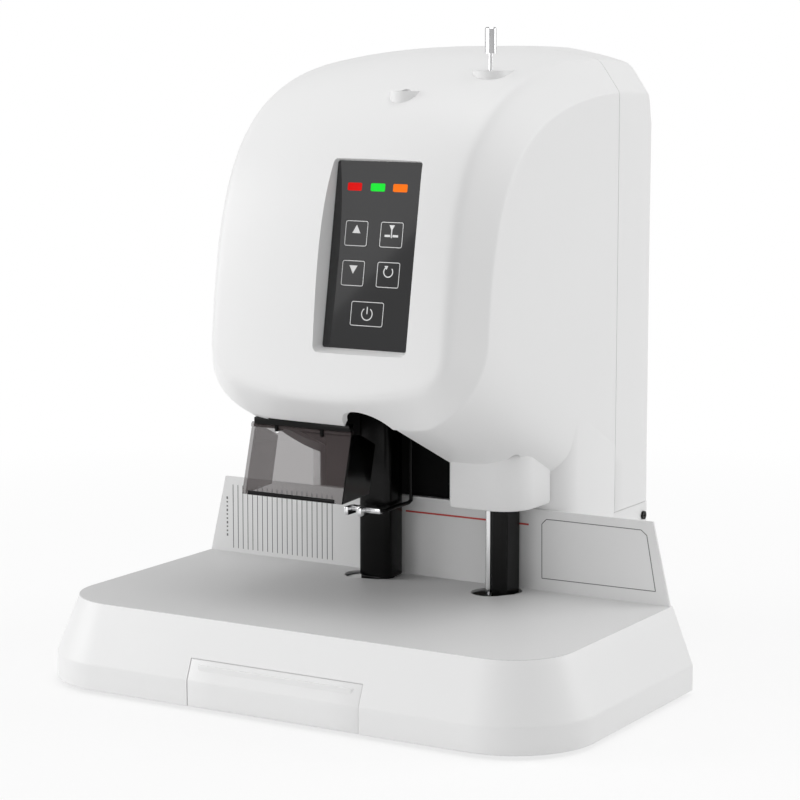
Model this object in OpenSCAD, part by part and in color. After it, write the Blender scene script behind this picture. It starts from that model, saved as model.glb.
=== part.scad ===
// Document riveting machine: a desk machine that drills a paper stack and
// closes a plastic tube rivet in the hole with a heated rod.
// X right, Y back, Z up, millimetres. Origin: centre of the footprint, desk level.

/* [Base] */
// Half width of the base at its foot
base_hw = 223.6; // [200:0.1:240]
// Front of the base at its foot
base_front = -186.3; // [-200:0.1:-170]
// Rear edge of the wide base
base_rear = 41; // [38:0.5:60]
// Plan corner radius at the foot
base_r = 64.8; // [40:0.1:80]
// Half width of the table
table_hw = 206.4; // [180:0.1:220]
// Front edge of the table
table_front = -169.1; // [-185:0.1:-150]
// Plan corner radius of the table
table_r = 47.6; // [30:0.1:60]
// Height of the vertical skirt
skirt_z = 22.3; // [15:0.1:35]
// Height of the table surface
table_z = 65.2; // [55:0.1:80]

/* [Column and head] */
// Half width of column and head
head_hw = 117.6; // [100:0.1:130]
// Half width at the upper edge of the side chamfer
edge_hw = 100; // [90:0.5:110]
// Seam between the front and the rear shell
seam_y = 124.2; // [100:0.1:140]
// Rear face of the machine
rear_y = 186.7; // [160:0.1:200]
// Highest point of the shells
crown_z = 475; // [440:1:500]
// Wall of the moulded shells
wall = 3; // [2:0.1:4]

/* [Fence] */
// Front face of the fence
fence_y = 37; // [30:0.5:45]
// Top of the fence
fence_z = 127.5; // [100:0.5:150]

/* [Drill station] */
// Drill axis, X
drill_x = -42; // [-60:0.1:-30]
// Drill axis, Y
drill_y = 19; // [5:0.1:30]
// Centre of the round end of the table slot, X
pad_x = -48.1; // [-60:0.1:-30]
// Centre of the round end of the table slot, Y
pad_y = 18.3; // [5:0.1:30]

/* [Rivet station] */
// Rivet rod axis, X
rod_x = 67.3; // [60:0.1:75]
// Rivet rod axis, Y
rod_y = 12; // [5:0.1:30]

/* [Control panel] */
// Centre line of the panel
panel_x = 28.6; // [0:0.1:50]
// Panel glass length
panel_len = 135.3; // [120:0.1:150]
// Panel glass width
panel_w = 70.5; // [60:0.1:80]

/* [Gears] */
// Module of racks and pinions
mod = 2; // [1:0.5:3]
// Teeth of each pinion
teeth = 12; // [10:1:20]
// Play between rack and pinion
play = 0.3; // [0.1:0.05:0.5]

/* [Hidden] */
$fn = 48;
panel_tilt = atan(23 / 133.3);
rp = mod * teeth / 2;
drill_pinion_x = drill_x + 52.4;
rivet_pinion_x = rod_x - 52.4;
drill_pinion_z = 262;
rivet_pinion_z = 302;
rod_r = 4;
run = 0.05;

// Which piece to draw

// ---------- plan and solid helpers ----------

module rr(x0, x1, y0, y1, r) {
  translate([x0 + r, y0 + r]) circle(r);
  translate([x1 - r, y0 + r]) circle(r);
  translate([x0 + r, y1 - r]) circle(r);
  translate([x1 - r, y1 - r]) circle(r);
  translate([x0 + r, y0]) square([x1 - x0 - 2 * r, y1 - y0]);
  translate([x0, y0 + r]) square([x1 - x0, y1 - y0 - 2 * r]);
}

module plan(hw, front, rear, r) {
  translate([-hw + r, front + r]) circle(r, $fn = 96);
  translate([hw - r, front + r]) circle(r, $fn = 96);
  translate([-hw + r, front]) square([2 * (hw - r), rear - front]);
  translate([-hw, front + r]) square([2 * hw, rear - front - r]);
}

module slab(z, t, hw, front, rear, r) {
  translate([0, 0, z]) linear_extrude(t) plan(hw, front, rear, r);
}

module box(x0, x1, y0, y1, z0, z1) {
  translate([x0, y0, z0]) cube([x1 - x0, y1 - y0, z1 - z0]);
}

module rod(x, y, z0, z1, r) {
  translate([x, y, z0]) cylinder(h = z1 - z0, r = r);
}

// Slots through the table, each longer on the side of its guard
module drill_slot(d) {
  hull() {
    translate([pad_x, pad_y]) circle(14.7 + d, $fn = 64);
    translate([pad_x + 13.5, pad_y + 2]) circle(13.8 + d, $fn = 64);
  }
}
module rivet_slot() {
  hull() {
    translate([rod_x + 1, rod_y]) circle(14.5, $fn = 64);
    translate([rod_x + 6.7, rod_y + 9.5]) circle(15, $fn = 64);
  }
}

module slots(z0, z1) {
  translate([0, 0, z0]) linear_extrude(z1 - z0) {
    drill_slot(0);
    rivet_slot();
  }
}

// ---------- head form ----------
// Side guides of the head in the YZ plane, from the seam over the top to the chin.

function bez(p, t) = pow(1 - t, 3) * p[0] + 3 * pow(1 - t, 2) * t * p[1]
  + 3 * (1 - t) * t * t * p[2] + pow(t, 3) * p[3];
function dbez(p, t) = 3 * pow(1 - t, 2) * (p[1] - p[0]) + 6 * (1 - t) * t * (p[2] - p[1])
  + 3 * t * t * (p[3] - p[2]);
function unit(v) = v / norm(v);
function nrm(p, t) = let (d = unit(dbez(p, t))) [d[1], -d[0]];

guide_a = [[seam_y, 464.8], [-96.8, 465.3], [-97.6, 377.2], [-114, 238]];
guide_b = [[seam_y, 439.8], [-30.2, 434.4], [-80.5, 392], [-82.5, 242]];
steps = 20;

// How far the crown stands proud of the upper chamfer edge
function proud(t) = 10 - 5 * t;
// Section: half width and its share of the way from crown to lower chamfer edge
cols = [[0, 0], [40, 0.12], [72, 0.42], [90, 0.78], [97, 0.97], [103.5, 1.22], [head_hw, 2]];
// Height of the crease above the chin for each column
crease = [[-117.5, 223.5], [-117.4, 225.5], [-117, 230.5], [-115.6, 238], [-113.6, 248],
  [-106, 253], [-84, 248]];
// Lower edge of the chin and of the side band for each column
lip = [[-85.5, 200.1], [-84.6, 199.8], [-92.5, 203.2], [-98.9, 209], [-98.8, 212], [-98, 216.6],
  [-82, 246]];
function under(y) = 145 + 0.45 * (fence_y - y);
function lift(x) = x < 75.6 ? 0 : 42 - sqrt(max(0, 42 * 42 - pow(x - 75.6, 2)));

function side_pt(c, t) = let (a = bez(guide_a, t), b = bez(guide_b, t), n = nrm(guide_a, t))
  c <= 1 ? a + (1 - c) * proud(t) * n : a + (c - 1) * (b - a);
// Points of one column: top and face, crease, lip, underside
function column_pts(j, d) = let (x = cols[j][0], c = cols[j][1]) concat(
  [for (i = [0:steps - 1]) let (t = 0.955 * i / (steps - 1), p = side_pt(c, t),
    q = p - d * nrm(guide_a, t)) [i == 0 ? seam_y + (d > 0 ? 2 : 0) : q[0], q[1]]],
  [[crease[j][0] + d, crease[j][1] + 0.3 * d]],
  [[lip[j][0] + 0.8 * d, lip[j][1] + 1.1 * d]],
  [[fence_y, under(fence_y) + lift(x) + 1.1 * d]],
  [[seam_y + (d > 0 ? 2 : 0), under(seam_y) + lift(x) + 1.1 * d]]);
ring = steps + 4;
order = [-6, -5, -4, -3, -2, -1, 0, 1, 2, 3, 4, 5, 6];

module head_form(d) {
  k = (head_hw - d) / head_hw;
  pts = [for (s = order) let (c = column_pts(abs(s), d), x = sign(s) * cols[abs(s)][0] * k)
    for (p = c) [x, p[0], p[1]]];
  ends = [[-head_hw * k, 40, 300], [head_hw * k, 40, 300]];
  n = len(order);
  polyhedron(concat(pts, ends), concat(
    [for (j = [0:n - 2]) for (i = [0:ring - 1]) let (i2 = (i + 1) % ring)
      [j * ring + i, (j + 1) * ring + i, (j + 1) * ring + i2]],
    [for (j = [0:n - 2]) for (i = [0:ring - 1]) let (i2 = (i + 1) % ring)
      [j * ring + i, (j + 1) * ring + i2, j * ring + i2]],
    [for (i = [0:ring - 1]) let (i2 = (i + 1) % ring) [n * ring, i, i2]],
    [for (i = [0:ring - 1]) let (i2 = (i + 1) % ring)
      [n * ring + 1, (n - 1) * ring + i2, (n - 1) * ring + i]]));
}

// Frame of the control panel: origin at the middle of the glass' lower edge
module on_panel() {
  translate([panel_x, -105, 260.4]) rotate([90 - panel_tilt, 0, 0]) children();
}

// Opening for the drill bay in the underside, with a round notch in the chin
module bay_cut() {
  translate([0, 0, 120]) linear_extrude(86) polygon([[-84.5, -96.5], [-72, -92.2], [-40, -84.3],
    [0, -85.2], [45.5, -85.2], [45.5, fence_y + 4], [-101.4, fence_y + 4]]);
  translate([21, -70, 197]) rotate([90, 0, 0]) cylinder(h = 60, r = 21);
}

// Recess round the glass, its walls flared outward
module panel_pocket() {
  hull() {
    linear_extrude(0.1) rr(-panel_w / 2 - 0.4, panel_w / 2 + 0.6, -0.6, panel_len + 0.4, 3);
    translate([0, 0, 16]) linear_extrude(0.1)
      rr(-panel_w / 2 - 1.6, panel_w / 2 + 8.4, -6.4, panel_len + 4.4, 6);
  }
  translate([0, 0, 16]) linear_extrude(24)
    rr(-panel_w / 2 - 1.6, panel_w / 2 + 8.4, -6.4, panel_len + 4.4, 6);
}

// ---------- base ----------

module base_housing() {
  color("white") difference() {
    union() {
      hull() {
        slab(3, skirt_z - 3, base_hw, base_front, base_rear, base_r);
        slab(table_z - 2.1, 0.1, table_hw + 0.8, table_front - 0.8, base_rear, table_r + 0.8);
      }
      box(-head_hw, head_hw, base_rear - 1, seam_y, 3, table_z);
    }
    hull() {
      slab(0, skirt_z, base_hw - wall, base_front + wall, base_rear - wall, base_r - wall);
      slab(table_z - 5.6, 0.1, table_hw - 1.6, table_front + 1.6, base_rear - wall, table_r - 2);
    }
    box(-head_hw + wall, head_hw - wall, base_rear - 10, seam_y + 1, 0, table_z - 5);
    box(-head_hw + 8, head_hw - 8, base_rear + 3, seam_y + 1, 10, table_z);
    box(-72.5, 73.5, base_front - 1, base_front + 20, 0, 37.8);
    slots(40, 80);
  }
}

module base_bottom_plate() {
  color("silver") difference() {
    union() {
      slab(5, 1.5, base_hw - wall - 0.3, base_front + wall + 2.3, base_rear - wall, base_r - wall);
      box(-head_hw + wall + 0.9, head_hw - wall - 0.9, base_rear - 10, rear_y - wall - 1.9, 5, 6.5);
    }
  }
}

module rubber_feet() {
  color("dimgray") for (p = [[-170, -130], [170, -130], [-170, 15], [170, 15], [-90, 165], [90, 165]])
    difference() {
      rod(p[0], p[1], 0, 5, 9);
      rod(p[0], p[1], -1, 2, 2.5);
    }
}

module table_plate() {
  color("gray") difference() {
    slab(table_z - 2, 2, table_hw, table_front, fence_y, table_r);
    slots(40, 80);
  }
}

module back_fence() {
  color("gainsboro") difference() {
    translate([0, fence_y + 2, 0]) rotate([90, 0, 0]) linear_extrude(2)
      polygon([[-206.4, table_z - 2], [206.4, table_z - 2], [206, table_z], [191.3, fence_z],
        [-191.3, fence_z], [-206, table_z]]);
    box(-101.4, 45.5, fence_y - 5, fence_y + 6, fence_z, fence_z + 30);
  }
}

module pad_cup() {
  color("black") difference() {
    translate([0, 0, 46]) linear_extrude(13.7) drill_slot(2);
    translate([0, 0, 57]) linear_extrude(10) drill_slot(0);
    rod(pad_x, pad_y, 52, 60, 12.5);
  }
}

module cutting_pad() {
  color("white") difference() {
    rod(pad_x, pad_y, 52, 62.8, 12.4);
    rod(pad_x, pad_y, 61.8, 63, 1.2);
  }
}

module lower_die() {
  color("silver") difference() {
    union() {
      rod(rod_x, rod_y, 46, 58, 11);
      rod(rod_x, rod_y, 58, 61, 6);
    }
    rod(rod_x, rod_y, 59.5, 62, 3);
  }
}

module die_heater() {
  color("goldenrod") difference() {
    box(rod_x - 18, rod_x + 18, rod_y - 16, rod_y + 16, 34, 46);
    translate([rod_x - 20, rod_y, 40]) rotate([0, 90, 0]) cylinder(h = 30, r = 3);
  }
}

module chip_drawer() {
  color("white") difference() {
    union() {
      box(-72.2, 73.2, base_front, base_front + 4, 3.2, 37.4);
      box(-66, 67, base_front + 3, -20, 9, 34);
    }
    box(-64, 65, base_front + 6, -22, 11, 40);
    box(-30, 31, base_front + 1.8, base_front + 3, 2, 6.5);
  }
}

module drawer_rails() {
  color("silver") for (s = [-1, 1]) translate([0.5, 0, 0]) {
    box(min(s * 67, s * 68.5), max(s * 67, s * 68.5), -176, -16, 6.5, 22);
    box(min(s * 55, s * 68.5), max(s * 55, s * 68.5), -176, -16, 6.5, 8.6);
  }
}

// ---------- shells ----------

module front_cover() {
  color("white") difference() {
    union() {
      difference() {
        union() {
          head_form(0);
          translate([0, 0, table_z]) linear_extrude(150)
            rr2(head_hw, fence_y + 2, seam_y, 22);
        }
        head_form(wall);
        translate([0, 0, table_z - 1]) linear_extrude(165)
          rr2(head_hw - wall, fence_y + 2 + wall, seam_y + 1, 19);
      }
      intersection() {
        on_panel() translate([0, 0, -22]) linear_extrude(30)
          rr(-panel_w / 2 - 5, panel_w / 2 + 11.5, -9.5, panel_len + 7.5, 8);
        head_form(1);
      }
      boss(24, -40, 443, 11, 20);
      boss(72, 2, 457.5, 13, 30);
    }
    on_panel() translate([0, 0, -0.2]) panel_pocket();
    on_panel() translate([0, 0, -1.85]) linear_extrude(4)
      rr(-panel_w / 2 - 0.1, panel_w / 2 + 0.1, -0.1, panel_len + 0.1, 2.1);
    on_panel() translate([0, 0, -19]) linear_extrude(30)
      rr(-panel_w / 2 + 3, panel_w / 2 - 3, 3, panel_len - 3, 3);
    bay_cut();
    box(rod_x - 18, 101, -9, fence_y - 1, 130, 215);
    rod(72, 2, 420, 480, 4.1);
    rod(24, -40, 420, 480, 5);
    box(-101.4, 45.5, fence_y, fence_y + 8, fence_z, 150);
  }
}

module rr2(hw, y0, y1, r) {
  translate([-hw + r, y0 + r]) circle(r);
  translate([hw - r, y0 + r]) circle(r);
  translate([-hw + r, y0]) square([2 * (hw - r), y1 - y0]);
  translate([-hw, y0 + r]) square([2 * hw, y1 - y0 - r]);
}

// Tube port: a flat-topped round boss that grows out of the sloping crown
module boss(x, y, z, r, len) {
  intersection() {
    union() {
      rod(x, y, z - 14, z, r);
      box(x - r, x + r, y, y + len, z - 14, z);
    }
    head_form(-12);
  }
}

module shell_section(d) {
  polygon([[-head_hw + d, 60], [-head_hw + d, 439.8 - d / 2], [-edge_hw + d / 2, 464.8 - d],
    [-72, 470.6 - d], [-40, 473.6 - d], [0, crown_z - 0.2 - d], [40, 473.6 - d], [72, 470.6 - d],
    [edge_hw - d / 2, 464.8 - d], [head_hw - d, 439.8 - d / 2], [head_hw - d, 60]]);
}

module rear_cover() {
  color("white") difference() {
    intersection() {
      translate([0, rear_y, 0]) rotate([90, 0, 0]) linear_extrude(rear_y - seam_y - 0.3)
        shell_section(0);
      box(-200, 200, 100, 200, 113, 500);
    }
    translate([0, rear_y - wall, 0]) rotate([90, 0, 0]) linear_extrude(70) shell_section(wall);
    for (i = [0:8]) for (s = [-1, 1])
      box(s * 45 - 28, s * 45 + 28, rear_y - 6, rear_y + 1, 300 + 12 * i, 304 + 12 * i);
  }
}

module lower_rear_cover() {
  color("white") difference() {
    box(-head_hw + 0.6, head_hw - 0.6, seam_y + 0.3, rear_y - 1.6, 3, 112.4);
    box(-head_hw + 0.6 + wall, head_hw - 0.6 - wall, seam_y - 1, rear_y - 1.6 - wall, 2, 113);
    box(-95, -45.5, rear_y - 6, rear_y + 1, 41, 69);
    box(61, 80, rear_y - 6, rear_y + 1, 40.7, 55.3);
    for (s = [-1, 1]) for (y = [132, 178])
      translate([s * (head_hw - 5), y, 102]) rotate([0, 90, 0]) cylinder(h = 12, r = 1.6, center = true);
  }
}

module cover_screws() {
  color("silver") for (s = [-1, 1]) for (y = [132, 178]) translate([s * (head_hw - 0.6), y, 102])
    rotate([0, s * 90, 0]) difference() {
      union() {
        cylinder(h = 1.8, r = 3.4);
        translate([0, 0, -7]) cylinder(h = 7.5, r = 1.6);
      }
      translate([-2.4, -0.4, 1]) cube([4.8, 0.8, 2]);
      translate([-0.4, -2.4, 1]) cube([0.8, 4.8, 2]);
    }
}

module rivet_housing() {
  color("white") difference() {
    translate([0, 0, 132.5]) linear_extrude(62) housing_plan(0);
    head_form(-0.05);
    translate([0, 0, 135]) linear_extrude(60) housing_plan(2.6);
    box(59, 88, -4, 35, 130, 140);
  }
}

module housing_plan(d) {
  hull() {
    translate([45.6 + d, -13 + d]) square([10, fence_y + 15 - 2 * d]);
    translate([105 - 25, -13 + 25]) circle(25 - d, $fn = 64);
    translate([95 - d, fence_y - 8]) square([10, 10 - d]);
  }
}

module bay_liner() {
  color("black") difference() {
    union() {
      box(-98, 44.5, fence_y + 5.5, fence_y + 7, 124, 212);
      box(-98, 44.5, -60, fence_y + 7, 212, 213.5);
      box(-64, -18, -86, -60, 212, 213.5);
      liner_side(-99.5);
      liner_side(44.5);
      for (x = [-61, -21]) box(x - 1, x + 1, -84.4, -76, 191.2, 212.5);
      box(press_x - 7, press_x + 7, press_y - 8, fence_y + 6, 186, 208);
    }
    translate([-90, hinge_y, hinge_z]) rotate([0, 90, 0]) cylinder(h = 100, r = 1.5);
    rod(press_x, press_y, 180, 212, 2.5 + run);
    box(-63, -16, 2, 40, 208, 220);
    box(-24, 4, 20, 40, 209, 220);
  }
}

module liner_side(x) {
  translate([x, 0, 0]) rotate([90, 0, 90]) linear_extrude(1.5)
    polygon([[-60, 205], [-60, 213.5], [fence_y + 7, 213.5], [fence_y + 7, 160]]);
}

// ---------- control panel ----------

module panel_glass() {
  color("black") on_panel() difference() {
    translate([0, 0, -1.8]) linear_extrude(2) rr(-panel_w / 2, panel_w / 2, 0, panel_len, 2);
    for (k = keys) translate([k[0] - panel_w / 2, k[1], -3]) linear_extrude(6)
      rr(-k[2] / 2 - 0.35, k[2] / 2 + 0.35, -k[3] / 2 - 0.35, k[3] / 2 + 0.35, 1.4);
    for (x = leds) translate([x - panel_w / 2, led_y, -3]) linear_extrude(6)
      rr(-6, 6, -2.9, 2.9, 1);
  }
}

// Keys in panel coordinates: x from the left edge, height, width, length
keys = [[20.5, 83, 18.8, 18.3], [20.5, 54.3, 18.8, 18.3], [49.9, 83, 18.8, 18.3],
  [49.9, 54.3, 18.8, 18.3], [35.2, 25.6, 27.2, 17.6]];
leds = [15.8, 35.2, 53.8];
led_y = 116.6;

module key_cap(k) {
  color("black") on_panel() translate([k[0] - panel_w / 2, k[1], -2.6]) {
    linear_extrude(2.9) rr(-k[2] / 2, k[2] / 2, -k[3] / 2, k[3] / 2, 1.2);
    linear_extrude(0.8) rr(-k[2] / 2 - 0.6, k[2] / 2 + 0.6, -k[3] / 2 - 0.6, k[3] / 2 + 0.6, 1.2);
  }
}

module key_up() { key_cap(keys[0]); }
module key_down() { key_cap(keys[1]); }
module key_rivet() { key_cap(keys[2]); }
module key_reset() { key_cap(keys[3]); }
module key_start() { key_cap(keys[4]); }

module led(x) {
  on_panel() translate([x - panel_w / 2, led_y, -3]) linear_extrude(3.3) rr(-5.9, 5.9, -2.8, 2.8, 1);
}
module led_red() { color("red") led(leds[0]); }
module led_green() { color("lime") led(leds[1]); }
module led_amber() { color("orange") led(leds[2]); }

module panel_board() {
  color("green") on_panel() {
    translate([0, 0, -6]) linear_extrude(1.6) rr(-panel_w / 2 + 4, panel_w / 2 - 4, 4, panel_len - 4, 2);
    for (k = keys) translate([k[0] - panel_w / 2, k[1], -4.5]) cylinder(h = 1.1, r = 2.5);
    for (x = leds) translate([x - panel_w / 2 - 3, led_y - 2, -4.5]) cube([6, 4, 1.5]);
  }
}

// ---------- shield ----------

hinge_y = -81.5;
hinge_z = 194.4;

module smoked_shield() {
  color([0.35, 0.3, 0.3, 0.5]) difference() {
    union() {
      hull() {
        box(-83.6, 4, -83.4, -81.8, 191, 192.5);
        box(-83.6, 4, -96.6, -95, 144, 145);
      }
      translate([-83.6, hinge_y, hinge_z]) rotate([0, 90, 0]) cylinder(h = 87.6, r = 2.5);
      wing(-83.6);
      wing(2.4);
    }
    for (x = [-61, -21]) box(x - 1.8, x + 1.8, -86, -76, 190, 200);
    translate([-90, hinge_y, hinge_z]) rotate([0, 90, 0]) cylinder(h = 100, r = 1.5 + run);
  }
}

module wing(x) {
  translate([x, 0, 0]) rotate([90, 0, 90]) linear_extrude(1.6)
    polygon([[-96.4, 144], [-59, 146], [-50, 182], [-60, 187], [-72, 192.4], [-83, 193]]);
}

// Dark weight strip along the lower edge of the shield
module shield_strip() {
  color("black") box(-78, -22, -98, -96.6, 144.2, 147.4);
}

module shield_pin() {
  color("silver") translate([-82, hinge_y, hinge_z]) rotate([0, 90, 0]) cylinder(h = 84, r = 1.5);
}

// ---------- mast and tool carriages ----------

module mast_frame() {
  color("silver") difference() {
    union() {
      box(-100, 100, 96, 102, 6.5, 430);
      box(-100, 100, 102, 170, 6.5, 10.5);
      box(-95, 95, 48, 96, 110, 116);
      box(-95, 105, 48, 96, 414, 420);
      box(-78, -6, 48, 96, 104, 110);
      box(52, 83, -4, 98, 28, 34);
    }
    for (x = [drill_x, rod_x]) for (s = [-24, 24]) rod(x + s, 62, 100, 430, rod_r);
    box(drill_x - 18.5, drill_x + 18.5, 44, 82, 100, 120);
    translate([drill_pinion_x, 90, drill_pinion_z]) rotate([-90, 0, 0]) cylinder(h = 20, r = 3 + run);
    translate([rivet_pinion_x, 90, rivet_pinion_z]) rotate([-90, 0, 0]) cylinder(h = 20, r = 3 + run);
  }
}

module guide_rods(x) {
  color("silver") for (s = [-24, 24]) rod(x + s, 62, 110, 424, rod_r);
}
module drill_guide_rods() { guide_rods(drill_x); }
module rivet_guide_rods() { guide_rods(rod_x); }

module carriage(x, ay, bore) {
  difference() {
    union() {
      box(x - 34, x + 34, 50, 74, 215, 255);
      box(x - 20, x + 20, 3, 50, 215, 255);
    }
    for (s = [-24, 24]) rod(x + s, 62, 210, 260, rod_r + run);
    rod(x, ay, 210, 260, bore);
  }
}

module drill_carriage() {
  color("lightslategray") difference() {
    carriage(drill_x, drill_y, 5 + run);
    rod(drill_x, 62, 210, 260, 6);
  }
}

module rivet_carriage() {
  color("lightslategray") carriage(rod_x, rod_y, 2.5);
}

module guard_plan(d) {
  translate([-34, 8 + d]) square([2, 24 - 2 * d]);
  hull() {
    translate([-47.5, 8 + d]) square([2, 24 - 2 * d]);
    translate([-32, 16]) circle(8 - d);
    translate([-32, 24]) circle(8 - d);
  }
}

module drill_guard() {
  color("black") difference() {
    translate([0, 0, 63]) linear_extrude(152) guard_plan(0);
    translate([0, 0, 60]) linear_extrude(160) guard_plan(2);
    box(-52, -45, 10, 30, 60, 220);
    box(-52, -38, 20, 40, 60, 220);
  }
}

module drill_bit() {
  color("silver") difference() {
    union() {
      rod(drill_x, drill_y, 63.3, 140, 3);
      rod(drill_x, drill_y, 138, 158, 4);
    }
    rod(drill_x, drill_y, 62, 142, 2.2);
    box(drill_x - 1.2, drill_x + 5, drill_y - 1.2, drill_y + 1.2, 128, 136);
  }
}

module drill_chuck() {
  color("dimgray") difference() {
    rod(drill_x, drill_y, 146, 172, 7.4);
    rod(drill_x, drill_y, 140, 158, 4);
    rod(drill_x, drill_y, 158, 180, 5);
    translate([drill_x, drill_y, 152]) rotate([0, -90, 0]) cylinder(h = 12, r = 1.5);
  }
}

module drill_spindle() {
  color("silver") union() {
    rod(drill_x, drill_y, 158, 278, 5);
    rod(drill_x, drill_y, 207, 214.5, 7);
  }
}

module pulley(x, y) {
  difference() {
    union() {
      rod(x, y, 257, 271, 10);
      rod(x, y, 256, 257.2, 12);
      rod(x, y, 270.8, 272, 12);
    }
    rod(x, y, 250, 280, x == drill_x && y == drill_y ? 5 : 2.5);
  }
}
module spindle_pulley() { color("dimgray") pulley(drill_x, drill_y); }
module motor_pulley() {
  color("dimgray") {
    pulley(drill_x, 62);
    rod(drill_x, 62, 216, 275, 2.5);
  }
}

module drive_belt() {
  color("black") translate([0, 0, 258]) linear_extrude(12) difference() {
    union() {
      translate([drill_x, drill_y]) circle(11.6);
      translate([drill_x, 62]) circle(11.6);
      translate([drill_x - 11.6, drill_y]) square([23.2, 62 - drill_y]);
    }
    translate([drill_x, drill_y]) circle(10.1);
    translate([drill_x, 62]) circle(10.1);
    translate([drill_x - 10.1, drill_y]) square([20.2, 62 - drill_y]);
  }
}

module drill_motor() {
  color("darkslategray") difference() {
    union() {
      rod(drill_x, 62, 160, 215, 17.5);
      rod(drill_x, 62, 154, 160, 10);
    }
    rod(drill_x, 62, 205, 220, 3);
  }
}

// Toothed rack: pitch line at x = 0, teeth towards +X, height along Z
module rack(z0, z1, zp) {
  n0 = ceil((z0 - zp) / (PI * mod)) + 1;
  n1 = floor((z1 - zp) / (PI * mod)) - 1;
  w = PI * mod / 2 - play;
  rotate([90, 0, 0]) linear_extrude(12, center = true) {
    translate([-1.2 * mod - 4, z0]) square([4, z1 - z0]);
    for (i = [n0:n1]) translate([0, zp + (i + 0.5) * PI * mod]) polygon([
      [-1.2 * mod - 0.1, -w / 2 - 1.2 * mod * tan(20)], [0.8 * mod, -w / 2 + 0.8 * mod * tan(20)],
      [0.8 * mod, w / 2 - 0.8 * mod * tan(20)], [-1.2 * mod - 0.1, w / 2 + 1.2 * mod * tan(20)]]);
  }
}

function inv_deg(r) = let (rb = rp * cos(20), a = acos(min(1, rb / r))) tan(a) * 180 / PI - a;
function half_deg(r) = 90 / teeth - play / 2 / rp * 180 / PI + inv_deg(rp) - inv_deg(r);
flank = [for (i = [0:5]) rp * cos(20) + 0.02 + (rp * (1 - cos(20)) + 0.8 * mod) * i / 5];

// Pinion with involute teeth; a tooth points along +X at rest
module pinion2d() {
  circle(rp - 1.2 * mod);
  for (k = [0:teeth - 1]) rotate(k * 360 / teeth) polygon(concat(
    [[rp - 1.2 * mod - 0.8, -rp * sin(half_deg(flank[0]))]],
    [for (r = flank) [r * cos(half_deg(r)), -r * sin(half_deg(r))]],
    [for (i = [5:-1:0]) let (r = flank[i]) [r * cos(half_deg(r)), r * sin(half_deg(r))]],
    [[rp - 1.2 * mod - 0.8, rp * sin(half_deg(flank[0]))]]));
}

module pinion(x, z, turn) {
  color("goldenrod") translate([x, 61, z]) {
    rotate([90, turn, 0]) linear_extrude(10, center = true) pinion2d();
    rotate([-90, 0, 0]) cylinder(h = 50, r = 3);
  }
}

module drill_rack() {
  color("silver") translate([drill_pinion_x - rp, 61, 0]) rack(196, 274, drill_pinion_z);
}
module rivet_rack() {
  color("silver") translate([rivet_pinion_x + rp, 61, 0]) mirror([1, 0, 0])
    rack(236, 314, rivet_pinion_z);
}
module drill_pinion() { pinion(drill_pinion_x, drill_pinion_z, 0); }
module rivet_pinion() { pinion(rivet_pinion_x, rivet_pinion_z, 0); }

module feed_motor(x, z) {
  color("darkslategray") translate([x, 102, z]) rotate([-90, 0, 0]) difference() {
    union() {
      cylinder(h = 55, r = 18.5);
      translate([0, 0, 55]) cylinder(h = 4, r = 8);
    }
    translate([0, 0, -1]) cylinder(h = 12, r = 3 + run);
  }
}
module drill_feed_motor() { feed_motor(drill_pinion_x, drill_pinion_z); }
module rivet_feed_motor() { feed_motor(rivet_pinion_x, rivet_pinion_z); }

// ---------- press foot ----------

press_x = -14;
press_y = 34;

module press_foot() {
  color("gainsboro") {
    union() {
      box(press_x - 6, press_x + 6, 27, fence_y - 0.5, 121, 128);
      box(press_x - 4, press_x + 4, -1, press_y, 122, 126);
      hull() {
        rod(press_x, 2, 122, 126, 4);
        rod(-42, -3, 122, 126, 4);
      }
      box(-54, -40, -6.5, 0.5, 122, 125);
      box(-54, -50.5, -12, 0.5, 117, 125);
      box(-43, -39, -12, 0.5, 117, 125);
    }
  }
  color("gainsboro") rod(press_x, press_y, 127, 330, 2.5);
}

// ---------- rivet tools ----------

module rivet_guard() {
  color("black") translate([0, 0, 63]) linear_extrude(87) difference() {
    hull() {
      translate([72.3, 11]) circle(2);
      translate([79, 13]) circle(4);
      translate([79, 30.5]) circle(4);
      translate([72.3, 32.5]) circle(2);
    }
    translate([68, 14]) square([11, 17]);
  }
}

module rivet_rod() {
  color("silver") difference() {
    union() {
      rod(rod_x, rod_y, 66, 258, 2.5);
      translate([rod_x, rod_y, 63]) cylinder(h = 3, r1 = 1.4, r2 = 2.5);
    }
    rod(rod_x, rod_y, 60, 64, 0.7);
  }
}

module heater_block() {
  color("goldenrod") difference() {
    box(rod_x - 9, 84, 1, 34, 150, 182);
    rod(rod_x, rod_y, 140, 190, 2.5);
    translate([rod_x + 9, 36, 166]) rotate([90, 0, 0]) cylinder(h = 30, r = 3);
  }
}

module press_ram() {
  color("silver") difference() {
    box(rod_x - 9, rod_x + 9, 3, 30, 182, 215);
    rod(rod_x, rod_y, 180, 220, 2.5);
  }
}

module guide_tube() {
  color("gainsboro") difference() {
    union() {
      rod(72, 2, 330, 440, 6);
      box(60, 84, 2, 62, 420, 424);
    }
    rod(72, 2, 320, 450, 3.2);
  }
}

module push_rod() {
  color("silver") {
    rod(72, 2, 345, 471, 1.5);
    rod(72, 2, 470, 488, 4.2);
    translate([72, 2, 488]) cylinder(h = 1, r1 = 4.2, r2 = 3.4);
  }
}

// ---------- power ----------

module transformer() {
  color("slategray") union() {
    box(-38, 32, 112, 168, 10.5, 60);
    box(-30, 24, 106, 112, 18, 52);
    box(-30, 24, 168, 174, 18, 52);
  }
}

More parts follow.
